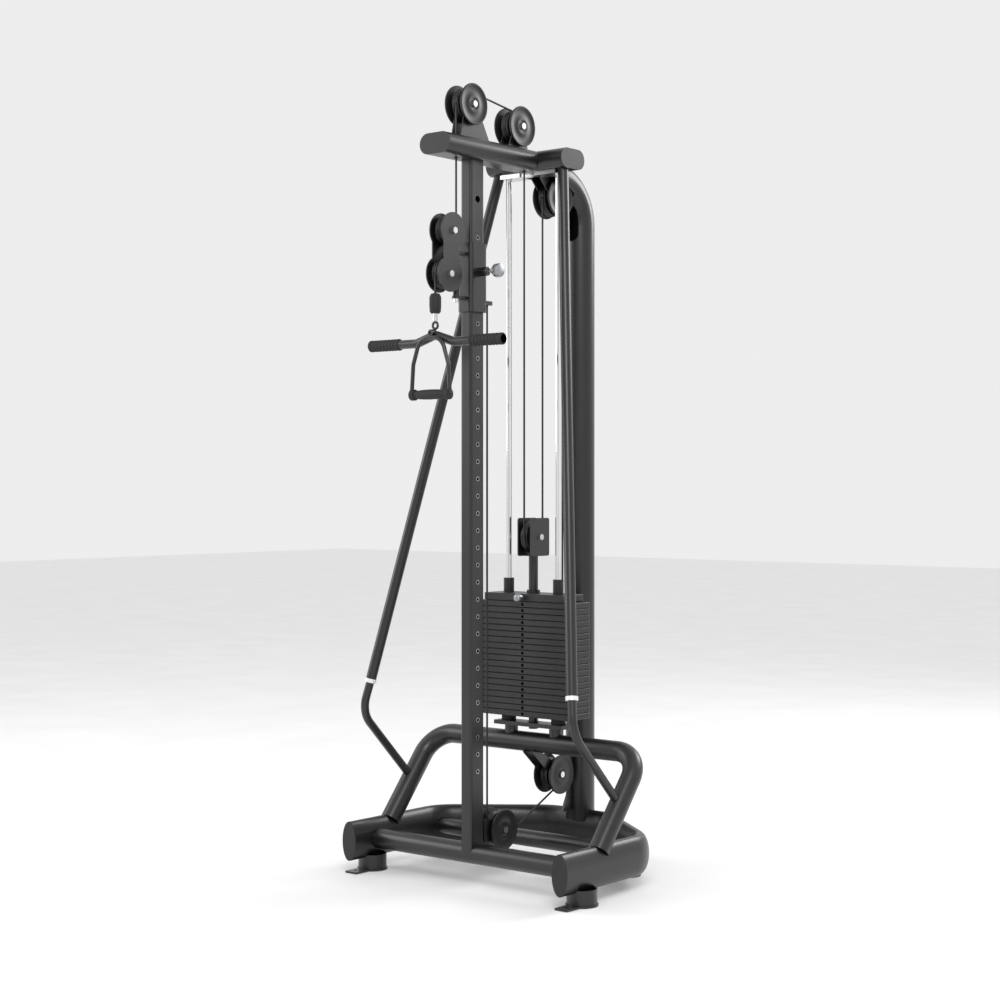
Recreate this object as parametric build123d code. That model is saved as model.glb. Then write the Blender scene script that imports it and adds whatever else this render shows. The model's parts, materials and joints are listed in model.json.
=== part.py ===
from build123d import *
import math
import os

# A single-column cable pulldown machine. +X is the machine's right, +Y its rear, +Z up, in millimetres.
# Every Y below is measured from the column's centre line. COLUMN_Y then moves the whole machine, so that
# the origin lies on the floor under the middle of its outline.
COLUMN_Y = -184.5

# base
RAIL_X = 397.0
RAIL_FRONT_Y = -100.0
RAIL_CORNER_Y = 300.0
RAIL_REAR_X = 110.0
RAIL_Z = 98.0
RAIL_TALL = 118.0
RAIL_WIDE = 54.0
RAIL_BEND = 110.0
CAP_THICK = 3.0
TUBE_WALL = 3.0
FRONT_BAR_R = 30.0
FRONT_BAR_Z = 96.0
REAR_BAR_R = 25.0
FOOT_R = 43.0
FOOT_TALL = 42.0
FOOT_PLATE_R = 46.0
FOOT_PLATE_THICK = 6.0
TAB_REACH = 96.0
TAB_WIDE = 44.0
TAB_HOLE_R = 5.5
TAB_HOLE_REACH = 74.0
REAR_FOOT_X = 254.0
REAR_FOOT_Y = 411.0

# hoop under the weights, and the two handrail struts
HOOP_R = 30.0
HOOP_FOOT_Y = 78.0
HOOP_TOP_Z = 389.0
HOOP_BEND = 85.0
STRUT_TOP = (122.0, 275.0, 2112.0)
STRUT_COLLAR = (380.0, -24.0, 581.0)
STRUT_KNEE = (399.0, -44.0, 480.0)
STRUT_FOOT = (397.0, 172.0, 262.0)
STRUT_SLEEVE_R = 16.0
STRUT_R = 12.5
COLLAR_R = 18.0

# column
COLUMN_X = 40.0
COLUMN_DEEP = 60.0
COLUMN_TOP = 2112.0
COLUMN_CORNER = 7.0
HOLE_PITCH = 50.0
HOLE_COUNT = 32
HOLE_FIRST_Z = 335.0
HOLE_R = 6.5
LINER_R = 5.2
LINER_PROUD = 0.6
ACCESS_HOLE_R = 10.0
ACCESS_HOLE_Z = 1997.0

# top beam, crossbar and rear post
BEAM_Z = 2140.0
BEAM_TALL = 60.0
BEAM_WIDE = 115.0
BEAM_FRONT_Y = -163.0
BEAM_REAR_Y = 332.0
CROSSBAR_Y = 293.0
CROSSBAR_HALF = 142.0
POST_R = 45.0
POST_Y = 523.0
POST_TOP_Z = 2112.0
POST_BEND = 140.0
SLOT_WIDE = 46.0
SLOT_LOW_Z = 1924.0
SLOT_HIGH_Z = 2040.0

# cable and pulleys
CABLE_R = 3.0
GROOVE_R = 45.0
PULLEY_RIM = 50.0
PULLEY_WIDE = 22.0
AXLE_R = 6.0
BORE_GAP = 0.05
COVER_R = 60.0
COVER_THICK = 3.0
COVER_X = 26.0
BIG_GROOVE_R = 50.0
REAR_POCKET_R = 67.0
REAR_POCKET_X = 36.0
DROP_Y = -73.0
STACK_Y = 287.0
FRONT_PULLEY = (DROP_Y + GROOVE_R, 2268.0)
MIDDLE_PULLEY = (STACK_Y - 2 * GROOVE_R, 2236.0)
REAR_PULLEY = (STACK_Y + GROOVE_R + BIG_GROOVE_R, 2044.0)
LOW_REAR_PULLEY = (REAR_PULLEY[0] + BIG_GROOVE_R - GROOVE_R, 282.0)
LOW_FRONT_PULLEY = (112.0, 152.0)
BLOCK_PULLEY = (STACK_Y, 1010.0)
ARM_GROOVE_R = 38.0
ARM_UPPER = (DROP_Y - ARM_GROOVE_R, 1895.0)
ARM_LOWER = (-126.0, 1770.0)
ARM_RIM = 42.0

# weight stack
ROD_X = 95.0
ROD_R = 9.0
ROD_TOP_Z = 2098.0
PLATE_COUNT = 19
PLATE_PITCH = 18.3
PLATE_THICK = 17.3
PLATE_HALF_X = 175.0
PLATE_DEEP = 108.0
STACK_LOW_Z = 470.0
HEAD_HALF_X = 150.0
HEAD_THICK = 22.0
STEM_R = 14.0
STEM_HOLE_R = 5.08
PIN_R = 5.0
PIN_Z_UP = 11.0
KNOB_R = 12.0
BLOCK_TALL = 115.0
BLOCK_DEEP = 90.0
BLOCK_X = 22.0

# carriage and swivel arm
SLEEVE_LOW_Z = 1669.0
SLEEVE_HIGH_Z = 1869.0
SLEEVE_GAP = 1.2
SLEEVE_WALL = 6.0
LOCK_Z = HOLE_FIRST_Z + 29 * HOLE_PITCH
LOCK_PIN_R = 4.8
LOCK_PIN_GAP = 0.05
HOUSING_R = 13.0
LOCK_KNOB_R = 22.0
LOCK_KNOB_X = 78.0
LOCK_TIP_GAP = 1.4
LUG_Z = (1704.0, 1832.0)
LUG_THICK = 8.0
BARREL_R = 9.0
PIVOT_R = 5.0
ARM_PLATE_X = 20.0
ARM_PLATE_THICK = 4.0
ARM_LOBE_R = 52.0

# handles
PULL_Y = ARM_LOWER[0] - ARM_GROOVE_R
STOP_R = 17.0
STOP_LOW_Z = 1655.0
STOP_HIGH_Z = 1713.0
RING_Z = 1622.0
BAR_Z = 1572.0
BAR_HALF = 250.0
BAR_R = 13.0
GRIP_R = 17.0
GRIP_LONG = 118.0
STIRRUP_HALF = 72.0
STIRRUP_GRIP_Z = 1424.0
STIRRUP_R = 6.0
STIRRUP_AHEAD = 20.0
STIRRUP_GRIP_R = 15.0

nodes = {}


def at(x, y, z):
    """A location in the machine, with Y measured from the column."""
    return Pos(x, y, z)


def drum(radius, length, centre, direction):
    """A cylinder centred on a point, with its axis along a direction."""
    plane = Plane(origin=centre, z_dir=direction)
    return plane * Cylinder(radius, length)


def ring(outer, inner, length, centre, direction):
    """A bush: a cylinder with a concentric hole."""
    return drum(outer, length, centre, direction) - drum(inner, length + 2, centre, direction)


def swept(path, outer, wall=0.0):
    """A round bar, or a round tube where a wall is given, swept along a path."""
    face = Plane(origin=path @ 0, z_dir=path % 0) * Circle(outer)
    body = sweep(face, path=path)
    if wall:
        core = Plane(origin=path @ 0, z_dir=path % 0) * Circle(outer - wall)
        body = body - sweep(core, path=path)
    return body


def oval_along(path, tall, wide, z_up, inset=0.0):
    """An elliptical bar swept along a level path, standing with its long side up."""
    plane = Plane(origin=path @ 0, x_dir=z_up, z_dir=path % 0)
    return sweep(plane * Ellipse(tall / 2 - inset, wide / 2 - inset), path=path)


def mirrored(shape):
    """A piece and its twin on the machine's left side."""
    return [shape, shape.mirror(Plane.YZ)]


def side_plate(outline, x_inner, thick):
    """A flat plate parallel to the YZ plane, from a face drawn with Y across and Z up."""
    plane = Plane(origin=(x_inner, 0, 0), x_dir=(0, 1, 0), z_dir=(1, 0, 0))
    return extrude(plane * outline, thick)


def keep(name, shapes):
    """Stores one node, a group of one or more separate solids."""
    solids = []
    for shape in shapes if isinstance(shapes, list) else [shapes]:
        solids.extend(shape.solids())
    nodes[name] = solids


# ---------------------------------------------------------------- base
def rail_path():
    points = [
        (RAIL_X, RAIL_FRONT_Y, RAIL_Z),
        (RAIL_X, RAIL_CORNER_Y, RAIL_Z),
        (RAIL_REAR_X, POST_Y, RAIL_Z),
        (-RAIL_REAR_X, POST_Y, RAIL_Z),
        (-RAIL_X, RAIL_CORNER_Y, RAIL_Z),
        (-RAIL_X, RAIL_FRONT_Y, RAIL_Z),
    ]
    return FilletPolyline(*points, radius=RAIL_BEND)


def make_base():
    """The oval rail with its two crossbars. Returns its outer solid and the caps of its two ends."""
    solid_rail = oval_along(rail_path(), RAIL_TALL, RAIL_WIDE, (0, 0, 1))
    hollow = oval_along(rail_path(), RAIL_TALL, RAIL_WIDE, (0, 0, 1), TUBE_WALL)
    keep("base_rail", solid_rail - hollow)
    cap_plane = Plane(origin=(RAIL_X, RAIL_FRONT_Y, RAIL_Z), x_dir=(0, 0, 1), z_dir=(0, -1, 0))
    cap = extrude(cap_plane * Ellipse(RAIL_TALL / 2, RAIL_WIDE / 2), CAP_THICK)
    bars = []
    for y, radius in ((0, FRONT_BAR_R), (STACK_Y, REAR_BAR_R)):
        bar = drum(radius, 2 * RAIL_X, (0, y, FRONT_BAR_Z), (1, 0, 0)) - solid_rail
        bars.append(bar - drum(radius - TUBE_WALL, 2 * RAIL_X, (0, y, FRONT_BAR_Z), (1, 0, 0)))
    keep("base_crossbars", bars)
    return solid_rail, mirrored(cap)


def foot(x, y, solid_rail):
    """A tubular foot: its stub, coped to the rail, and its floor plate with a bolt-down tab in front."""
    stub = at(x, y, FOOT_PLATE_THICK) * Cylinder(FOOT_R, FOOT_TALL, align=(Align.CENTER, Align.CENTER, Align.MIN))
    core = at(x, y, 0) * Cylinder(FOOT_R - 4, 200)
    bar = drum(FRONT_BAR_R, 2 * RAIL_X, (0, 0, FRONT_BAR_Z), (1, 0, 0))
    tube = (stub - core) - solid_rail - bar - at(x, y, RAIL_Z + 50) * Box(200, 200, 100)
    low = [s for s in tube.solids() if s.bounding_box().min.Z < FOOT_PLATE_THICK + 1]
    disc = Circle(FOOT_PLATE_R)
    tab = Pos(0, -TAB_REACH / 2) * Rectangle(TAB_WIDE, TAB_REACH)
    hole = Pos(0, -TAB_HOLE_REACH) * Circle(TAB_HOLE_R)
    plate = at(x, y, 0) * extrude(disc + tab - hole, FOOT_PLATE_THICK)
    return low, plate


def make_feet(solid_rail):
    stubs = []
    plates = []
    for x, y in ((RAIL_X, 0), (-RAIL_X, 0), (REAR_FOOT_X, REAR_FOOT_Y), (-REAR_FOOT_X, REAR_FOOT_Y)):
        stub, plate = foot(x, y, solid_rail)
        stubs.extend(stub)
        plates.append(plate)
    keep("foot_stubs", stubs)
    keep("foot_plates", plates)


def make_hoop(solid_rail):
    points = [
        (RAIL_X, HOOP_FOOT_Y, RAIL_Z + 40),
        (RAIL_X, STACK_Y, HOOP_TOP_Z),
        (-RAIL_X, STACK_Y, HOOP_TOP_Z),
        (-RAIL_X, HOOP_FOOT_Y, RAIL_Z + 40),
    ]
    path = FilletPolyline(*points, radius=HOOP_BEND)
    solid_hoop = swept(path, HOOP_R)
    keep("hoop_frame", solid_hoop - solid_rail - swept(path, HOOP_R - TUBE_WALL))
    return solid_hoop


# ---------------------------------------------------------------- column
def make_column():
    outline = RectangleRounded(COLUMN_X, COLUMN_DEEP, COLUMN_CORNER)
    bore = RectangleRounded(COLUMN_X - 2 * TUBE_WALL, COLUMN_DEEP - 2 * TUBE_WALL, COLUMN_CORNER - TUBE_WALL)
    tube = at(0, 0, FRONT_BAR_Z) * extrude(outline - bore, COLUMN_TOP - FRONT_BAR_Z)
    tube = tube - drum(FRONT_BAR_R, 100, (0, 0, FRONT_BAR_Z), (1, 0, 0))
    liners = []
    for i in range(HOLE_COUNT):
        z = HOLE_FIRST_Z + i * HOLE_PITCH
        centre = (COLUMN_X / 2 - TUBE_WALL / 2, 0, z)
        tube = tube - drum(HOLE_R, TUBE_WALL + 2, centre, (1, 0, 0))
        liners.append(ring(HOLE_R, LINER_R, TUBE_WALL + LINER_PROUD * 2, centre, (1, 0, 0)))
    tube = tube - drum(ACCESS_HOLE_R, 8, (COLUMN_X / 2, 0, ACCESS_HOLE_Z), (1, 0, 0))
    beam = beam_solid()
    keep("column", tube - beam)
    keep("hole_liners", liners)


# ---------------------------------------------------------------- top
def beam_outline():
    return SlotOverall(BEAM_WIDE, BEAM_TALL)


def beam_solid():
    plane = Plane(origin=(0, BEAM_FRONT_Y, BEAM_Z), x_dir=(1, 0, 0), z_dir=(0, 1, 0))
    return extrude(plane * beam_outline(), BEAM_REAR_Y - BEAM_FRONT_Y)


def crossbar_solid():
    plane = Plane(origin=(-CROSSBAR_HALF, CROSSBAR_Y, BEAM_Z), x_dir=(0, 1, 0), z_dir=(1, 0, 0))
    return extrude(plane * beam_outline(), 2 * CROSSBAR_HALF)


def cable_holes():
    holes = []
    for y in (DROP_Y, STACK_Y - GROOVE_R):
        holes.append(drum(9, 200, (0, y, BEAM_Z), (0, 0, 1)))
    return holes


def make_top(rail_caps):
    beam = beam_solid()
    crossbar = crossbar_solid() - beam
    for hole in cable_holes():
        beam = beam - hole
    keep("top_beam", beam)
    keep("top_crossbar", crossbar)
    cap_plane = Plane(origin=(0, BEAM_FRONT_Y, BEAM_Z), x_dir=(1, 0, 0), z_dir=(0, -1, 0))
    front_cap = extrude(cap_plane * beam_outline(), CAP_THICK)
    end_plane = Plane(origin=(CROSSBAR_HALF, CROSSBAR_Y, BEAM_Z), x_dir=(0, 1, 0), z_dir=(1, 0, 0))
    keep("tube_end_caps", rail_caps + [front_cap] + mirrored(extrude(end_plane * beam_outline(), CAP_THICK)))
    path = FilletPolyline(
        (0, POST_Y, RAIL_Z), (0, POST_Y, POST_TOP_Z), (0, BEAM_REAR_Y + 14, POST_TOP_Z), radius=POST_BEND
    )
    post = swept(path, POST_R) - swept(path, POST_R - TUBE_WALL)
    post = post - oval_along(rail_path(), RAIL_TALL, RAIL_WIDE, (0, 0, 1)) - crossbar_solid()
    post = post - at(0, POST_Y, RAIL_Z) * Box(200, 200, 60)
    slot_plane = Plane(origin=(0, POST_Y - 60, (SLOT_LOW_Z + SLOT_HIGH_Z) / 2), x_dir=(0, 0, 1), z_dir=(0, 1, 0))
    slot = extrude(slot_plane * SlotOverall(SLOT_HIGH_Z - SLOT_LOW_Z, SLOT_WIDE), 50)
    pocket = drum(REAR_POCKET_R, 2 * REAR_POCKET_X, (0, *REAR_PULLEY), (1, 0, 0))
    tube = max((post - slot - pocket).solids(), key=lambda s: s.volume)
    brace = Polygon((430, 160), (478, 160), (478, 240), (470, 240), align=None)
    brace_solid = side_plate(brace, -4, 8) - oval_along(rail_path(), RAIL_TALL, RAIL_WIDE, (0, 0, 1))
    keep("rear_post", tube + (brace_solid - at(0, POST_Y, 200) * Cylinder(POST_R - 1, 200)))


def make_struts(solid_hoop):
    sleeve_path = Line(STRUT_TOP, STRUT_COLLAR)
    sleeve = swept(sleeve_path, STRUT_SLEEVE_R) - crossbar_solid() - beam_solid()
    sleeve = max(sleeve.solids(), key=lambda s: s.volume)
    keep("strut_sleeves", mirrored(sleeve))
    heading = (Vector(*STRUT_COLLAR) - Vector(*STRUT_TOP)).normalized()
    start = Vector(*STRUT_COLLAR) + heading * 13
    lower_path = FilletPolyline(tuple(start), STRUT_KNEE, STRUT_FOOT, radius=90)
    keep("strut_legs", mirrored(swept(lower_path, STRUT_R) - solid_hoop))
    collar_centre = Vector(*STRUT_COLLAR) + heading * 6
    keep("strut_collars", mirrored(drum(COLLAR_R, 12, tuple(collar_centre), tuple(heading))))


# ---------------------------------------------------------------- pulleys
def pulley(centre, groove, rim, wide):
    """A grooved wheel on the X axis, bored to run on its axle."""
    y, z = centre
    half = wide / 2
    section = Polygon(
        (AXLE_R + BORE_GAP, -half - 3), (AXLE_R + 8, -half - 3), (AXLE_R + 8, -half), (rim, -half),
        (rim, -half + 2), (groove - CABLE_R - 0.5, -2.4), (groove - CABLE_R - 0.5, 2.4), (rim, half - 2), (rim, half),
        (AXLE_R + 8, half), (AXLE_R + 8, half + 3), (AXLE_R + BORE_GAP, half + 3), align=None,
    )
    wheel = revolve(Plane.XZ * section, axis=Axis.Z)
    return at(0, y, z) * (Rot(0, 90, 0) * wheel)


def covers(centre, radius=COVER_R, x=COVER_X):
    """The pair of round guard discs beside a pulley, each with a shallow raised rim."""
    y, z = centre
    disc = drum(radius, COVER_THICK, (x + COVER_THICK / 2, y, z), (1, 0, 0))
    rim = ring(radius, radius - 4, 3, (x + COVER_THICK + 1.5, y, z), (1, 0, 0))
    disc = disc + rim - drum(AXLE_R, 30, (x, y, z), (1, 0, 0))
    return mirrored(disc)


def axle(centre, x_outer):
    """A through bolt with a hexagon head on the right and a nut on the left."""
    y, z = centre
    shank = drum(AXLE_R, 2 * x_outer, (0, y, z), (1, 0, 0))
    plane = Plane(origin=(x_outer, y, z), z_dir=(1, 0, 0))
    head = extrude(plane * RegularPolygon(10, 6), 7)
    nut = extrude(Plane(origin=(-x_outer, y, z), z_dir=(-1, 0, 0)) * RegularPolygon(10, 6), 8)
    return shank + head + nut


def bracket(centre, base_points, x=15.0, thick=4.0):
    """Two side plates that carry an axle: each is the hull of a round boss and two base points."""
    y, z = centre
    outline = make_hull([Pos(y, z) * Circle(24).edge()] + [Pos(*p) * Circle(3).edge() for p in base_points])
    plate = side_plate(outline, x, thick) - drum(AXLE_R, 100, (0, y, z), (1, 0, 0))
    return mirrored(plate)


def make_pulleys():
    beam_top = BEAM_Z + BEAM_TALL / 2 + 3
    wheels = {
        "top_front": (FRONT_PULLEY, GROOVE_R, [(-70, beam_top), (50, beam_top)]),
        "top_middle": (MIDDLE_PULLEY, GROOVE_R, [(150, beam_top), (232, beam_top)]),
        "top_rear": (REAR_PULLEY, BIG_GROOVE_R, [(325, 2108), (292, 2108)]),
        "low_rear": (LOW_REAR_PULLEY, GROOVE_R, [(300, 356), (262, 362)]),
        "low_front": (LOW_FRONT_PULLEY, GROOVE_R, [(34, 190), (34, 126)]),
    }
    holders = beam_solid() + crossbar_solid() + post_holder()
    brackets = []
    discs = []
    axles = []
    for name, (centre, groove, base) in wheels.items():
        keep(name + "_pulley", pulley(centre, groove, groove + 5, PULLEY_WIDE))
        brackets.extend(p - holders for p in bracket(centre, base))
        discs.extend(covers(centre))
        axles.append(axle(centre, COVER_X + COVER_THICK))
    keep("pulley_brackets", brackets)
    keep("pulley_covers", discs)
    keep("pulley_axles", axles)


def post_holder():
    """The volume of the hoop bar, column and post that bracket plates are coped to."""
    bar = drum(HOOP_R, 200, (0, STACK_Y, HOOP_TOP_Z), (1, 0, 0))
    return bar + at(0, POST_Y, 1100) * Cylinder(POST_R, 2000)


# ---------------------------------------------------------------- weight stack
def make_stack():
    rods = []
    for x in (-ROD_X, ROD_X):
        rods.append(drum(ROD_R, ROD_TOP_Z - 430, (x, STACK_Y, (ROD_TOP_Z + 430) / 2), (0, 0, 1)))
    keep("guide_rods", rods)
    tie = at(0, STACK_Y, 2104) * Box(210, 60, 12)
    tie = tie - at(0, STACK_Y - GROOVE_R, 2100) * Box(60, 40, 60) - drum(30, 40, (0, 332, 2104), (0, 0, 1))
    tie = tie - beam_solid() - crossbar_solid()
    keep("rod_top_plate", tie - at(0, STACK_Y + 40, 2100) * Box(64, 80, 60))
    rest = at(0, STACK_Y, 444) * Box(260, 60, 12)
    for x in (-ROD_X, ROD_X):
        rest = rest - drum(ROD_R, 40, (x, STACK_Y, 444), (0, 0, 1))
    keep("stack_rest", rest - drum(STEM_R + 5, 40, (0, STACK_Y, 444), (0, 0, 1)))
    posts = []
    for x in (-ROD_X + 10, ROD_X - 10):
        pillar = at(x, STACK_Y, 412) * Cylinder(20, 52)
        posts.append(pillar - drum(HOOP_R, 400, (0, STACK_Y, HOOP_TOP_Z), (1, 0, 0))
                     - drum(ROD_R, 200, (math.copysign(ROD_X, x), STACK_Y, 412), (0, 0, 1)))
    keep("stack_posts", [max(p.solids(), key=lambda s: s.bounding_box().max.Z) for p in posts])
    cushions = []
    for x in (-ROD_X, ROD_X):
        cushions.append(ring(22, ROD_R, 20, (x, STACK_Y, 460), (0, 0, 1)))
    keep("stack_cushions", cushions)
    make_plates()
    make_head()


def weight_plate(z, half_x, thick, bore):
    """One slab of the stack, with its rod holes, its stem hole and the selector hole in its front."""
    slab = extrude(at(0, STACK_Y, z) * RectangleRounded(2 * half_x, PLATE_DEEP, 6), thick)
    slab = chamfer(slab.edges().group_by(Axis.Z)[-1] + slab.edges().group_by(Axis.Z)[0], 1.5)
    for x in (-ROD_X, ROD_X):
        slab = slab - drum(ROD_R + 4, 3 * thick, (x, STACK_Y, z), (0, 0, 1))
    slab = slab - drum(bore, 3 * thick, (0, STACK_Y, z), (0, 0, 1))
    front = (0, STACK_Y - PLATE_DEEP / 4 - 5, z + thick / 2)
    return slab - drum(STEM_HOLE_R, PLATE_DEEP / 2 + 12, front, (0, 1, 0))


def make_plates():
    plates = []
    for i in range(PLATE_COUNT):
        plates.append(weight_plate(STACK_LOW_Z + i * PLATE_PITCH, PLATE_HALF_X, PLATE_THICK, STEM_R + 2))
    keep("weight_plates", plates)


def make_head():
    low = STACK_LOW_Z + PLATE_COUNT * PLATE_PITCH
    head = weight_plate(low, HEAD_HALF_X, HEAD_THICK, STEM_R)
    keep("head_plate", head)
    stem_top = BLOCK_PULLEY[1] - BLOCK_TALL / 2
    stem_low = STACK_LOW_Z - 40
    stem = drum(STEM_R, stem_top - stem_low, (0, STACK_Y, (stem_top + stem_low) / 2), (0, 0, 1))
    for i in range(PLATE_COUNT):
        z = STACK_LOW_Z + i * PLATE_PITCH + PLATE_THICK / 2
        stem = stem - drum(STEM_HOLE_R, 60, (0, STACK_Y, z), (0, 1, 0))
    pin_z = low + PIN_Z_UP
    stem = stem - drum(STEM_HOLE_R, 60, (0, STACK_Y, pin_z), (0, 1, 0))
    keep("selector_stem", stem)
    bushes = [ring(STEM_R + 6, STEM_R, 10, (0, STACK_Y, low + HEAD_THICK + 5), (0, 0, 1))]
    for x in (-ROD_X, ROD_X):
        bush = ring(16, ROD_R + 0.08, 44, (x, STACK_Y, low + HEAD_THICK + 22), (0, 0, 1))
        bushes.append(bush)
    keep("head_bushes", bushes)
    y, z = BLOCK_PULLEY
    side = Pos(y, z) * RectangleRounded(BLOCK_DEEP, BLOCK_TALL, 8)
    plate = side_plate(side, BLOCK_X, 4) - drum(AXLE_R, 100, (0, y, z), (1, 0, 0))
    foot_block = at(0, y, z - BLOCK_TALL / 2 + 4) * Box(2 * BLOCK_X, 40, 8)
    keep("block_plates", mirrored(plate) + [foot_block])
    keep("block_axle", axle(BLOCK_PULLEY, BLOCK_X + 4))
    keep("block_pulley", pulley(BLOCK_PULLEY, GROOVE_R, GROOVE_R + 3, PULLEY_WIDE))
    pin_front = STACK_Y - PLATE_DEEP / 2 - 6
    pin_back = STACK_Y + STEM_R - 2
    pin = drum(PIN_R, pin_back - pin_front, (0, (pin_back + pin_front) / 2, pin_z), (0, 1, 0))
    keep("selector_pin", pin)
    knob = drum(KNOB_R, 26, (0, pin_front - 13, pin_z), (0, 1, 0))
    keep("selector_knob", fillet(knob.edges(), 4))


# ---------------------------------------------------------------- carriage
def make_carriage():
    gap = SLEEVE_GAP
    inner = RectangleRounded(COLUMN_X + 2 * gap, COLUMN_DEEP + 2 * gap, COLUMN_CORNER + gap)
    out_x = COLUMN_X + 2 * (gap + SLEEVE_WALL)
    out_y = COLUMN_DEEP + 2 * (gap + SLEEVE_WALL)
    outer = RectangleRounded(out_x, out_y, COLUMN_CORNER + 4)
    sleeve = at(0, 0, SLEEVE_LOW_Z) * extrude(outer - inner, SLEEVE_HIGH_Z - SLEEVE_LOW_Z)
    face_y = -out_y / 2
    for z in LUG_Z:
        reach = Pos(0, (face_y + 1 + DROP_Y) / 2) * Rectangle(24, face_y + 1 - DROP_Y)
        eye = Pos(0, DROP_Y) * Circle(12) + reach - Pos(0, DROP_Y) * Circle(PIVOT_R)
        lug = at(0, 0, z) * extrude(eye, LUG_THICK)
        sleeve = sleeve + (lug - at(0, 0, SLEEVE_LOW_Z) * extrude(inner, 300))
    sleeve = sleeve - drum(HOUSING_R - 4, 30, (out_x / 2, 0, LOCK_Z), (1, 0, 0))
    shoulder = drum(HOUSING_R - 4, SLEEVE_WALL, (out_x / 2 - SLEEVE_WALL / 2, 0, LOCK_Z), (1, 0, 0))
    barrel = drum(HOUSING_R, 30, (out_x / 2 + 15, 0, LOCK_Z), (1, 0, 0))
    bored = shoulder + barrel - drum(LOCK_PIN_R + LOCK_PIN_GAP, 200, (0, 0, LOCK_Z), (1, 0, 0))
    keep("lock_housing", bored)
    pivot_mid = (LUG_Z[0] + LUG_Z[1] + LUG_THICK) / 2
    pivot_long = LUG_Z[1] - LUG_Z[0] + LUG_THICK
    pivot = drum(PIVOT_R, pivot_long, (0, DROP_Y, pivot_mid), (0, 0, 1))
    nut = at(0, DROP_Y, LUG_Z[0] - 5) * Cylinder(8, 10)
    keep("pivot_pin", pivot + nut)
    pin_in = COLUMN_X / 2 + LOCK_TIP_GAP
    pin_out = LOCK_KNOB_X
    lock = drum(LOCK_PIN_R, pin_out - pin_in, ((pin_in + pin_out) / 2, 0, LOCK_Z), (1, 0, 0))
    keep("lock_pin", lock)
    knob_plane = Plane(origin=(LOCK_KNOB_X, 0, LOCK_Z), z_dir=(1, 0, 0))
    knob = extrude(knob_plane * RegularPolygon(LOCK_KNOB_R, 8), 30)
    keep("lock_knob", chamfer(knob.edges(), 4))
    anchor_y = LOW_FRONT_PULLEY[0] - GROOVE_R
    rear_face = out_y / 2
    tab = at(0, (rear_face + anchor_y + 10) / 2, 1700) * Box(24, anchor_y + 10 - rear_face, 12)
    keep("carriage_sleeve", sleeve + tab)


# ---------------------------------------------------------------- swivel arm
def make_arm():
    upper = Pos(*ARM_UPPER) * Circle(ARM_LOBE_R)
    lower = Pos(*ARM_LOWER) * Circle(ARM_LOBE_R)
    mid = ((ARM_UPPER[0] + ARM_LOWER[0]) / 2, (ARM_UPPER[1] + ARM_LOWER[1]) / 2)
    waist = Pos(*mid) * Rectangle(66, 70)
    plate = side_plate(upper + lower + waist, ARM_PLATE_X, ARM_PLATE_THICK)
    for centre in (ARM_UPPER, ARM_LOWER):
        plate = plate - drum(AXLE_R, 100, (0, centre[0], centre[1]), (1, 0, 0))
    keep("arm_plates", mirrored(plate))
    low = LUG_Z[0] + LUG_THICK + 0.5
    high = LUG_Z[1] - 0.5
    barrel = ring(BARREL_R, PIVOT_R + BORE_GAP, high - low, (0, DROP_Y, (low + high) / 2), (0, 0, 1))
    web = at(0, DROP_Y - BARREL_R - 1.5, low + 28) * Box(2 * ARM_PLATE_X, 7, 14)
    web_high = at(0, DROP_Y - BARREL_R - 4, high - 20) * Box(2 * ARM_PLATE_X, 14, 12)
    bore = drum(PIVOT_R + BORE_GAP, 300, (0, DROP_Y, (low + high) / 2), (0, 0, 1))
    keep("arm_barrel", barrel + web + web_high - bore)
    for name, centre in (("arm_upper", ARM_UPPER), ("arm_lower", ARM_LOWER)):
        keep(name + "_pulley", pulley(centre, ARM_GROOVE_R, ARM_RIM, 20))
    keep("arm_axles", [axle(c, ARM_PLATE_X + ARM_PLATE_THICK) for c in (ARM_UPPER, ARM_LOWER)])


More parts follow.
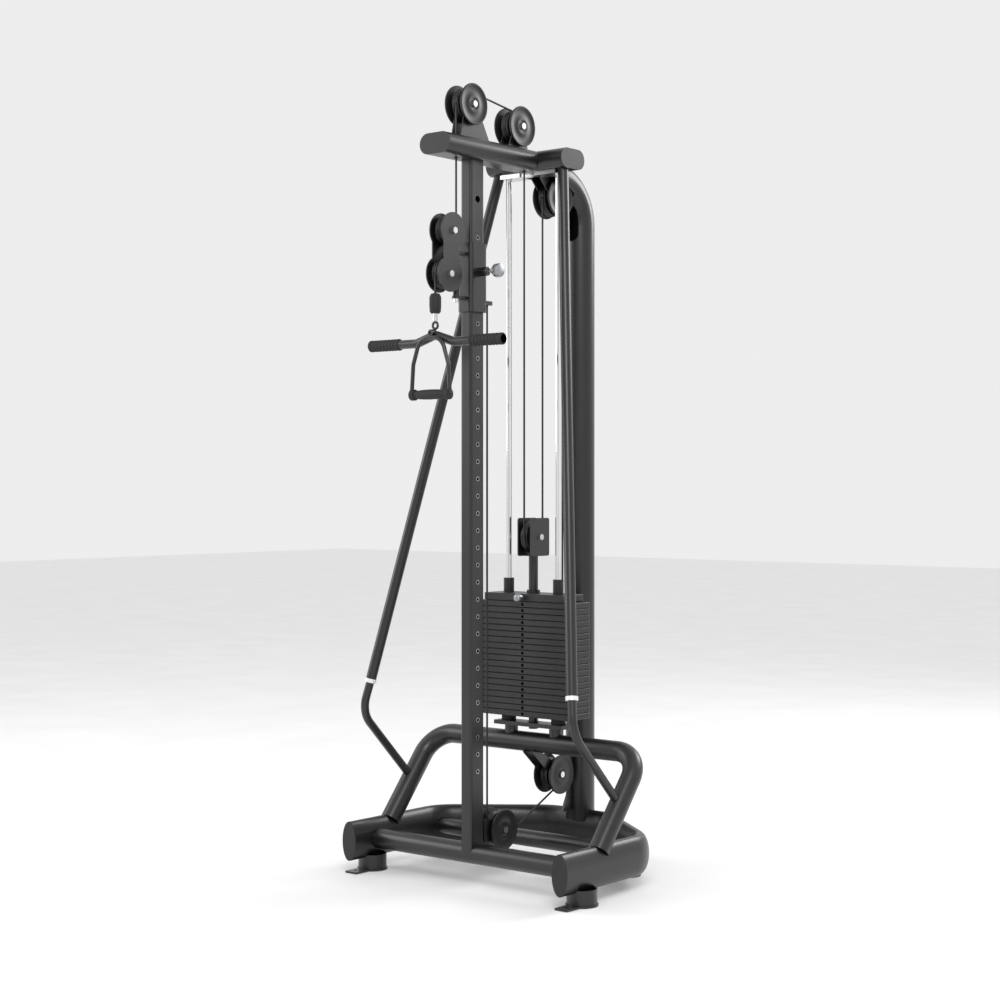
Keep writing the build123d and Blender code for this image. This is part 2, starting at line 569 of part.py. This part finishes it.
# ---------------------------------------------------------------- handles
def make_handles():
    keep("cable_stop", drum(STOP_R, STOP_HIGH_Z - STOP_LOW_Z, (0, PULL_Y, (STOP_LOW_Z + STOP_HIGH_Z) / 2), (0, 0, 1)))
    keep("end_swivel", drum(7, 22, (0, PULL_Y, STOP_LOW_Z - 11), (0, 0, 1)))
    link_half = 9
    link_top = STOP_LOW_Z - 33.7
    link_low = BAR_Z + 40
    link = FilletPolyline(
        (-link_half, PULL_Y, link_low), (-link_half, PULL_Y, link_top + 8), (link_half, PULL_Y, link_top + 8),
        (link_half, PULL_Y, link_low), close=True, radius=7,
    )
    keep("carabiner", swept(link, 3.5))
    bar_path = FilletPolyline(
        (-BAR_HALF, PULL_Y, BAR_Z), (-70, PULL_Y, BAR_Z), (0, PULL_Y, BAR_Z + 22), (70, PULL_Y, BAR_Z),
        (BAR_HALF, PULL_Y, BAR_Z), radius=40,
    )
    keep("pull_bar", swept(bar_path, BAR_R))
    grips = []
    for side in (-1, 1):
        centre = (side * (BAR_HALF - GRIP_LONG / 2), PULL_Y, BAR_Z)
        grips.append(ring(GRIP_R, BAR_R, GRIP_LONG, centre, (1, 0, 0)))
    keep("pull_bar_grips", grips)
    y = PULL_Y - STIRRUP_AHEAD
    shoulder = (STIRRUP_HALF - 6, y, BAR_Z - 62)
    crown = (STIRRUP_HALF - 32, y, BAR_Z + 14)
    stirrup_path = FilletPolyline(
        (-STIRRUP_HALF, y, STIRRUP_GRIP_Z), (-shoulder[0], y, shoulder[2]), (-crown[0], y, crown[2]),
        crown, shoulder, (STIRRUP_HALF, y, STIRRUP_GRIP_Z), radius=[30, 45, 45, 30],
    )
    hook = ring(9, 5, 8, (0, y + 2, BAR_Z + 27), (0, 1, 0))
    strap = at(0, PULL_Y - STIRRUP_AHEAD / 2, BAR_Z + 34) * Box(8, STIRRUP_AHEAD, 5)
    keep("stirrup", swept(stirrup_path, STIRRUP_R) + hook + strap)
    grip = drum(STIRRUP_GRIP_R, 2 * STIRRUP_HALF - 14, (0, y, STIRRUP_GRIP_Z), (1, 0, 0))
    keep("stirrup_grip", grip)


# ---------------------------------------------------------------- cable
def tangent_angle(a, b, ra, rb, crossed):
    """The heading of centre a to centre b, and the tilt of their common tangent from it."""
    dy = b[0] - a[0]
    dz = b[1] - a[1]
    gap = math.hypot(dy, dz)
    tilt = math.asin((ra + rb if crossed else ra - rb) / gap)
    return math.atan2(dz, dy), tilt


def rim_point(centre, radius, angle):
    return (0, centre[0] + radius * math.cos(angle), centre[1] + radius * math.sin(angle))


def cable_piece(*routes):
    """Solid cable along each route, a chain of lines and arcs."""
    return [swept(Wire(edges), CABLE_R - 0.1) for edges in routes]


def wrap(centre, radius, start, end):
    """An arc of cable round a pulley, from one rim angle to another."""
    middle = (start + end) / 2
    return ThreePointArc(
        rim_point(centre, radius, start), rim_point(centre, radius, middle), rim_point(centre, radius, end)
    )


def make_cable():
    heading, tilt = tangent_angle(FRONT_PULLEY, MIDDLE_PULLEY, GROOVE_R, GROOVE_R, False)
    top = heading + math.pi / 2 - tilt
    first = wrap(FRONT_PULLEY, GROOVE_R, math.pi, top)
    second = wrap(MIDDLE_PULLEY, GROOVE_R, top, 0)
    drop = Line((0, DROP_Y, ARM_UPPER[1]), (0, DROP_Y, FRONT_PULLEY[1]))
    keep("cable_drop", cable_piece([drop]))
    heading, tilt = tangent_angle(ARM_UPPER, ARM_LOWER, ARM_GROOVE_R, ARM_GROOVE_R, True)
    leave = heading + math.pi / 2 - tilt
    arrive = leave + math.pi
    upper_wrap = wrap(ARM_UPPER, ARM_GROOVE_R, 0, leave)
    lower_wrap = wrap(ARM_LOWER, ARM_GROOVE_R, arrive - 2 * math.pi, -math.pi)
    keep("cable_arm", cable_piece([upper_wrap, Line(upper_wrap @ 1, lower_wrap @ 0), lower_wrap]))
    keep("cable_pull", cable_piece([Line((0, PULL_Y, ARM_LOWER[1]), (0, PULL_Y, STOP_HIGH_Z))]))
    front_fall = STACK_Y - GROOVE_R
    rear_fall = STACK_Y + GROOVE_R
    front_line = Line((0, front_fall, BLOCK_PULLEY[1]), (0, front_fall, MIDDLE_PULLEY[1]))
    rear_line = Line((0, rear_fall, BLOCK_PULLEY[1]), (0, rear_fall, REAR_PULLEY[1]))
    keep("cable_falls", cable_piece([front_line], [rear_line]))
    keep("cable_block", cable_piece([wrap(BLOCK_PULLEY, GROOVE_R, -math.pi, 0)]))
    rear_wrap = wrap(REAR_PULLEY, BIG_GROOVE_R, math.pi, 0)
    down_y = REAR_PULLEY[0] + BIG_GROOVE_R
    down = Line((0, down_y, REAR_PULLEY[1]), (0, down_y, LOW_REAR_PULLEY[1]))
    heading, tilt = tangent_angle(LOW_REAR_PULLEY, LOW_FRONT_PULLEY, GROOVE_R, GROOVE_R, False)
    under = heading + math.pi / 2 + tilt
    low_rear = wrap(LOW_REAR_PULLEY, GROOVE_R, 0, under)
    low_front = wrap(LOW_FRONT_PULLEY, GROOVE_R, under, -math.pi)
    top_run = [first, Line(first @ 1, second @ 0), second]
    low_run = [rear_wrap, down, low_rear, Line(low_rear @ 1, low_front @ 0), low_front]
    keep("cable_runs", cable_piece(top_run, low_run))
    tail_y = LOW_FRONT_PULLEY[0] - GROOVE_R
    keep("cable_tail", cable_piece([Line((0, tail_y, LOW_FRONT_PULLEY[1]), (0, tail_y, 1694))]))


def main():
    rail, rail_caps = make_base()
    make_feet(rail)
    hoop = make_hoop(rail)
    make_column()
    make_top(rail_caps)
    make_struts(hoop)
    make_pulleys()
    make_stack()
    make_carriage()
    make_arm()
    make_handles()
    make_cable()
    os.makedirs("parts", exist_ok=True)
    for name, solids in nodes.items():
        placed = [Pos(0, COLUMN_Y, 0) * solid for solid in solids]
        export_step(placed[0] if len(placed) == 1 else Compound(children=placed), "parts/" + name + ".step")
    print(len(nodes), "nodes")


main()
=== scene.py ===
import json
import math
import bpy
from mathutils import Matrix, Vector


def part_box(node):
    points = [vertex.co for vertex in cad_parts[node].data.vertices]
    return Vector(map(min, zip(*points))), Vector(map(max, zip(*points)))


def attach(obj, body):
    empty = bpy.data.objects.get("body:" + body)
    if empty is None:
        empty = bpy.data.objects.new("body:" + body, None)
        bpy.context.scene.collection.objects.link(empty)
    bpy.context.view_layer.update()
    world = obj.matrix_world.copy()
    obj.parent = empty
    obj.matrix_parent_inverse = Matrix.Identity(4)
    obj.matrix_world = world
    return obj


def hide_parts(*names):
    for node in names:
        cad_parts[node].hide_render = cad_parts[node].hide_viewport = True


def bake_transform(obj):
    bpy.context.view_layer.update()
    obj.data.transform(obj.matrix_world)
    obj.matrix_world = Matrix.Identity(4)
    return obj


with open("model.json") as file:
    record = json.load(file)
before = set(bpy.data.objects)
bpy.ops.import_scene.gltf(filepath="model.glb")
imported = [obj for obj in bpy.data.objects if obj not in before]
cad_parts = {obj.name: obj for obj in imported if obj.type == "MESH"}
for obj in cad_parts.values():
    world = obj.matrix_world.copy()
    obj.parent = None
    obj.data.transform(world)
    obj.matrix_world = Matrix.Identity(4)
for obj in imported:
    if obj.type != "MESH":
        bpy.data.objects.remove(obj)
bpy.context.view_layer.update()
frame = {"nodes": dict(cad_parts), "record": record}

# The camera's place from the machine's front right, in metres, and its heading from straight ahead.
CAMERA_AT = (3.538, -4.3955, 1.173)
CAMERA_HEADING = math.radians(39.2)
CAMERA_LENS = 68.04
CAMERA_SHIFT_Y = -0.017
CAMERA_SENSOR = 36

# Sizes in metres. A profile is turned in SEGMENTS steps unless its call says otherwise.
SEGMENTS = 48
SHARP_ANGLE = math.radians(40)
CABLE_R = 0.003
CABLE_SEGMENTS = 16
GRIP_RINGS = 8
GRIP_RING_START = 0.012
GRIP_RING_PITCH = 0.0125
GRIP_GROOVE = 0.0022
GRIP_LONG = 0.118
LOCK_KNOB_FACES = 12
COVER_R = 0.060
COVER_THICK = 0.006
COVER_SEGMENTS = 72
COAT = 0.25
FLOOR_WIDE = 40
SKY_STRENGTH = 0.85
LIGHTS_AIM = (0, 0, 1.1)


# ---------------------------------------------------------------- materials
def material(name, color, metallic=0.0, roughness=0.5):
    """A new material with its Principled shader."""
    mat = bpy.data.materials.new(name)
    mat.use_nodes = True
    shader = mat.node_tree.nodes["Principled BSDF"]
    shader.inputs["Base Color"].default_value = (*color, 1.0)
    shader.inputs["Metallic"].default_value = metallic
    shader.inputs["Roughness"].default_value = roughness
    return mat, shader


def noise(mat, scale, detail=4.0, stretch=(1.0, 1.0, 1.0)):
    """Object-space noise, stretched along an axis for a brushed look."""
    nodes, links = mat.node_tree.nodes, mat.node_tree.links
    place = nodes.new("ShaderNodeTexCoord")
    mapping = nodes.new("ShaderNodeMapping")
    mapping.inputs["Scale"].default_value = stretch
    texture = nodes.new("ShaderNodeTexNoise")
    texture.inputs["Scale"].default_value = scale
    texture.inputs["Detail"].default_value = detail
    links.new(place.outputs["Object"], mapping.inputs["Vector"])
    links.new(mapping.outputs["Vector"], texture.inputs["Vector"])
    return texture


def ramp(mat, source, low, high, first, last):
    """Maps a noise to a range of colours."""
    node = mat.node_tree.nodes.new("ShaderNodeValToRGB")
    node.color_ramp.elements[0].position = low
    node.color_ramp.elements[1].position = high
    node.color_ramp.elements[0].color = (*first, 1.0)
    node.color_ramp.elements[1].color = (*last, 1.0)
    mat.node_tree.links.new(source, node.inputs["Fac"])
    return node.outputs["Color"]


def rough_range(mat, shader, source, low, high):
    """Lets a noise vary the roughness between two values."""
    node = mat.node_tree.nodes.new("ShaderNodeMapRange")
    node.inputs["To Min"].default_value = low
    node.inputs["To Max"].default_value = high
    mat.node_tree.links.new(source, node.inputs["Value"])
    mat.node_tree.links.new(node.outputs["Result"], shader.inputs["Roughness"])


def bump(mat, shader, source, strength, distance):
    """Raises the surface by a noise."""
    node = mat.node_tree.nodes.new("ShaderNodeBump")
    node.inputs["Strength"].default_value = strength
    node.inputs["Distance"].default_value = distance
    mat.node_tree.links.new(source, node.inputs["Height"])
    mat.node_tree.links.new(node.outputs["Normal"], shader.inputs["Normal"])


def finish(name, dark, light, metallic, rough, grain, strength, distance, stretch=(1, 1, 1)):
    """A surface with cloudy colour over large patches, and a fine grain in its roughness and bump."""
    mat, shader = material(name, dark, metallic)
    cloud = noise(mat, 9.0, 5.0)
    color = ramp(mat, cloud.outputs["Fac"], 0.35, 0.7, dark, light)
    mat.node_tree.links.new(color, shader.inputs["Base Color"])
    fine = noise(mat, grain, 3.0, stretch)
    rough_range(mat, shader, fine.outputs["Fac"], rough[0], rough[1])
    bump(mat, shader, fine.outputs["Fac"], strength, distance)
    return mat


def make_materials():
    """Every finish, by the record's slot names, with white for the collars on the struts."""
    slots = {
        "black_paint": finish(
            "powder_coat", (0.0035, 0.0035, 0.004), (0.006, 0.006, 0.0065),
            metallic=0.0, rough=(0.3, 0.44), grain=900, strength=0.16, distance=0.0004,
        ),
        "plates": finish(
            "plate_enamel", (0.013, 0.013, 0.014), (0.02, 0.02, 0.021),
            metallic=0.1, rough=(0.34, 0.5), grain=500, strength=0.2, distance=0.0004,
        ),
        "bright_steel": finish(
            "zinc_steel", (0.62, 0.62, 0.63), (0.74, 0.74, 0.75),
            metallic=1.0, rough=(0.2, 0.34), grain=400, strength=0.08, distance=0.0002, stretch=(1, 1, 12),
        ),
        "chrome": finish(
            "polished_chrome", (0.86, 0.86, 0.87), (0.92, 0.92, 0.93),
            metallic=1.0, rough=(0.04, 0.09), grain=250, strength=0.02, distance=0.0001,
        ),
        "silver_knob": finish(
            "satin_aluminium", (0.30, 0.31, 0.33), (0.40, 0.41, 0.43),
            metallic=0.9, rough=(0.28, 0.4), grain=700, strength=0.12, distance=0.0002,
        ),
        "black_plastic": finish(
            "moulded_plastic", (0.004, 0.004, 0.0045), (0.007, 0.007, 0.0075),
            metallic=0.0, rough=(0.36, 0.5), grain=1400, strength=0.2, distance=0.0003,
        ),
        "cable": finish(
            "coated_cable", (0.006, 0.006, 0.0065), (0.011, 0.011, 0.0115),
            metallic=0.0, rough=(0.22, 0.36), grain=600, strength=0.1, distance=0.0002,
        ),
        "rubber": finish(
            "black_rubber", (0.006, 0.006, 0.006), (0.012, 0.012, 0.012),
            metallic=0.0, rough=(0.6, 0.8), grain=1100, strength=0.35, distance=0.0004,
        ),
        "white": finish(
            "white_collar", (0.72, 0.72, 0.72), (0.8, 0.8, 0.8),
            metallic=0.3, rough=(0.3, 0.42), grain=700, strength=0.1, distance=0.0002,
        ),
    }
    lacquer = slots["black_paint"].node_tree.nodes["Principled BSDF"]
    lacquer.inputs["Coat Weight"].default_value = COAT
    lacquer.inputs["Coat Roughness"].default_value = COAT
    return slots


MATERIALS = make_materials()
# The photograph shows these white, and the record has no white slot.
NODE_FINISH = {"strut_collars": "white"}


def paint(obj, name):
    """Gives a new piece one finish."""
    obj.data.materials.clear()
    obj.data.materials.append(MATERIALS[name])


def paint_frame():
    """Gives every carried-over CAD node the finish of its slot."""
    slots = {part["node"]: part["material_slot"] for part in frame["record"]["subparts"]}
    for node, obj in frame["nodes"].items():
        chosen = NODE_FINISH.get(node, slots[node])
        for i in range(len(obj.material_slots)):
            obj.material_slots[i].material = MATERIALS[chosen]
        if not obj.material_slots:
            obj.data.materials.append(MATERIALS[chosen])


# ---------------------------------------------------------------- mesh tools
def middle(node):
    """The centre of a CAD node's box."""
    low, high = (Vector(c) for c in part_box(node))
    return (low + high) / 2


def lathe(name, profile, centre, direction, finish_name, segments=SEGMENTS):
    """Turns a profile of (distance along the axis, radius) about an axis through centre."""
    turn = Vector(direction).to_track_quat("Z", "Y")
    verts = []
    for along, radius in profile:
        for i in range(segments):
            angle = 2 * math.pi * i / segments
            local = Vector((radius * math.cos(angle), radius * math.sin(angle), along))
            verts.append(Vector(centre) + turn @ local)
    faces = []
    for ring in range(len(profile) - 1):
        for i in range(segments):
            j = (i + 1) % segments
            a, b = ring * segments, (ring + 1) * segments
            faces.append((a + i, a + j, b + j, b + i))
    faces.append(tuple(reversed(range(segments))))
    faces.append(tuple(range((len(profile) - 1) * segments, len(profile) * segments)))
    mesh = bpy.data.meshes.new(name)
    mesh.from_pydata(verts, [], faces)
    mesh.update()
    for polygon in mesh.polygons:
        polygon.use_smooth = len(polygon.vertices) == 4
    obj = bpy.data.objects.new(name, mesh)
    bpy.context.scene.collection.objects.link(obj)
    paint(obj, finish_name)
    edges = obj.modifiers.new("edges", "EDGE_SPLIT")
    edges.split_angle = SHARP_ANGLE
    return obj


# ---------------------------------------------------------------- cable spans
def span(name, low, high, step=0.01):
    """A straight upright cable from a low point up to a high one."""
    long = high[2] - low[2]
    count = max(8, int(long / step))
    profile = [(long * i / count, CABLE_R) for i in range(count + 1)]
    piece = lathe(name, profile, low, (0, 0, 1), "cable", CABLE_SEGMENTS)
    piece.modifiers.clear()
    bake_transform(piece)
    return piece


def make_cables():
    """Round wires in place of the CAD's rigid stand-ins, for the spans that change length."""
    for node, upper, lower in (
        ("cable_drop", "frame", "carriage"),
        ("cable_tail", "carriage", "frame"),
        ("cable_pull", "swivel_arm", "cable_end"),
    ):
        low, high = (Vector(c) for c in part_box(node))
        centre = (low + high) / 2
        foot, head = (centre.x, centre.y, low.z), (centre.x, centre.y, high.z)
        piece = span(node + "_wire", foot, head)
        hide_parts(node)
    low, high = (Vector(c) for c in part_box("cable_falls"))
    front = (low.y + CABLE_R, middle("top_middle_pulley").z)
    rear = (high.y - CABLE_R, middle("top_rear_pulley").z)
    for i, (y, top) in enumerate((front, rear)):
        piece = span(f"cable_fall_wire_{i}", (0, y, low.z), (0, y, top))
        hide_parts("cable_falls")


# ---------------------------------------------------------------- handles
def make_grips():
    """Ringed rubber grips on the pull bar, and a waisted one with end collars on the stirrup."""
    low, high = (Vector(c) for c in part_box("pull_bar_grips"))
    centre = (low + high) / 2
    radius = (high.z - low.z) / 2
    for side, name in ((-1, "left"), (1, "right")):
        end = Vector((side * high.x, centre.y, centre.z))
        profile = [(0.0, 0.004), (0.0, radius - 0.003), (0.003, radius), (0.008, radius)]
        for i in range(GRIP_RINGS):
            at = GRIP_RING_START + i * GRIP_RING_PITCH
            floor = radius - GRIP_GROOVE
            profile += [(at, radius), (at + 0.003, floor), (at + 0.007, floor), (at + 0.010, radius)]
        profile += [(0.114, radius), (0.1175, radius - 0.003), (GRIP_LONG, 0.0132)]
        grip = lathe(f"bar_grip_{name}", profile, end, (-side, 0, 0), "rubber")
        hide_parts("pull_bar_grips")
        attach(grip, "handles")
    low, high = (Vector(c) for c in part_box("stirrup_grip"))
    centre = (low + high) / 2
    radius = (high.z - low.z) / 2
    half = (high.x - low.x) / 2
    profile = [
        (-half - 0.009, 0.004), (-half - 0.009, radius - 0.003), (-half - 0.006, radius + 0.001),
        (-half + 0.006, radius + 0.001), (-half + 0.009, radius - 0.004), (-half + 0.014, radius - 0.003),
        (-half * 0.4, radius - 0.001), (0.0, radius - 0.0005),
    ]
    profile += [(-along, r) for along, r in reversed(profile[:-1])]
    grip = lathe("stirrup_hand_grip", profile, centre, (1, 0, 0), "rubber")
    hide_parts("stirrup_grip")
    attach(grip, "handles")


def make_stop():
    """The rubber stop at the end of the cable."""
    low, high = (Vector(c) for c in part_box("cable_stop"))
    centre = (low + high) / 2
    r = (high.x - low.x) / 2
    h = (high.z - low.z) / 2
    profile = [(-h, 0.004), (-h, r * 0.75), (-h + 0.006, r * 0.94), (-h * 0.3, r), (h * 0.55, r)]
    profile += [(h - 0.008, r * 0.92), (h - 0.002, r * 0.7), (h, 0.0035)]
    stop = lathe("cable_stop_ball", profile, centre, (0, 0, 1), "rubber")
    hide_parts("cable_stop")
    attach(stop, "cable_end")


def make_knobs():
    """The carriage lock's faceted knob and the selector pin's round one."""
    low, high = (Vector(c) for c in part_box("lock_knob"))
    centre = (low + high) / 2
    r = (high.z - low.z) / 2
    start = low.x - centre.x
    profile = [(start, 0.009), (start, r * 0.55), (start + 0.006, r * 0.62), (start + 0.010, r * 0.95)]
    profile += [(start + 0.014, r), (start + 0.024, r), (start + 0.028, r * 0.9), (start + 0.030, r * 0.6)]
    profile += [(start + 0.0302, 0.003)]
    knob = lathe("lock_pull_knob", profile, centre, (1, 0, 0), "silver_knob", LOCK_KNOB_FACES)
    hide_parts("lock_knob")
    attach(knob, "lock")
    low, high = (Vector(c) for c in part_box("selector_knob"))
    centre = (low + high) / 2
    r = (high.z - low.z) / 2
    h = (high.y - low.y) / 2
    profile = [(-h, 0.003), (-h, r * 0.6), (-h + 0.003, r * 0.9), (-h + 0.006, r), (h - 0.010, r)]
    profile += [(h - 0.008, r * 0.7), (h - 0.001, r * 0.7), (h, 0.005)]
    ball = lathe("selector_pin_knob", profile, centre, (0, 1, 0), "silver_knob")
    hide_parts("selector_knob")
    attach(ball, "selector")


# ---------------------------------------------------------------- pulley covers
WHEELS = ("top_front_pulley", "top_middle_pulley", "top_rear_pulley", "low_rear_pulley", "low_front_pulley")


def make_covers():
    """A dished, rolled-edge guard disc on each side of every fixed pulley."""
    low, high = (Vector(c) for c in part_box("pulley_covers"))
    outer = high.x
    radius, thick = COVER_R, COVER_THICK
    rim = [
        (0.0, 0.012), (0.0, radius - 0.002), (0.001, radius - 0.0004), (0.003, radius),
        (0.005, radius - 0.0004), (thick, radius - 0.002), (thick, radius - 0.0045),
    ]
    dish = [(thick - 0.0025, radius - 0.008), (thick - 0.003, 0.030)]
    boss = [(thick - 0.001, 0.026), (thick - 0.0008, 0.016), (thick - 0.003, 0.013)]
    for wheel in WHEELS:
        centre = middle(wheel)
        for side, word in ((-1, "left"), (1, "right")):
            start = (side * (outer - thick), centre.y, centre.z)
            name = f"{wheel}_cover_{word}"
            cover = lathe(
                name, rim + dish + boss, start, (side, 0, 0), "black_plastic", COVER_SEGMENTS
            )
            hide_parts("pulley_covers")
            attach(cover, "frame")


# ---------------------------------------------------------------- stage
def make_stage():
    """The photograph's camera, a pale floor, a white surround and three soft lights."""
    camera = bpy.data.objects.new("camera", bpy.data.cameras.new("camera"))
    bpy.context.scene.collection.objects.link(camera)
    camera.location = CAMERA_AT
    camera.rotation_euler = (math.radians(90), 0, CAMERA_HEADING)
    camera.data.lens = CAMERA_LENS
    camera.data.sensor_width = CAMERA_SENSOR
    camera.data.shift_y = CAMERA_SHIFT_Y
    bpy.context.scene.camera = camera
    bpy.context.scene.view_settings.view_transform = "Standard"
    bpy.ops.mesh.primitive_plane_add(size=FLOOR_WIDE, location=(0, 0, 0))
    floor = bpy.context.object
    floor.name = "floor"
    mat, shader = material("pale_floor", (0.9, 0.9, 0.9), 0.0, 0.7)
    grain = noise(mat, 3.0)
    color = ramp(mat, grain.outputs["Fac"], 0.3, 0.7, (0.86, 0.86, 0.86), (0.9, 0.9, 0.9))
    mat.node_tree.links.new(color, shader.inputs["Base Color"])
    floor.data.materials.append(mat)
    world = bpy.data.worlds.new("studio")
    bpy.context.scene.world = world
    world.use_nodes = True
    world.node_tree.nodes["Background"].inputs["Color"].default_value = (1, 1, 1, 1)
    world.node_tree.nodes["Background"].inputs["Strength"].default_value = SKY_STRENGTH
    add_light("key", (3.0, -3.5, 4.2), size=2.2, power=110)
    add_light("left_fill", (-4.0, -2.5, 2.6), size=2.6, power=70)
    add_light("rim", (1.5, 4.0, 3.4), size=2.0, power=90)


def add_light(name, place, size, power):
    """A square area light that faces the machine."""
    data = bpy.data.lights.new(name, "AREA")
    data.size = size
    data.energy = power
    light = bpy.data.objects.new(name, data)
    bpy.context.scene.collection.objects.link(light)
    light.location = place
    light.rotation_euler = (Vector(LIGHTS_AIM) - Vector(place)).to_track_quat("-Z", "Y").to_euler()


make_stage()
paint_frame()
make_cables()
make_grips()
make_stop()
make_knobs()
make_covers()
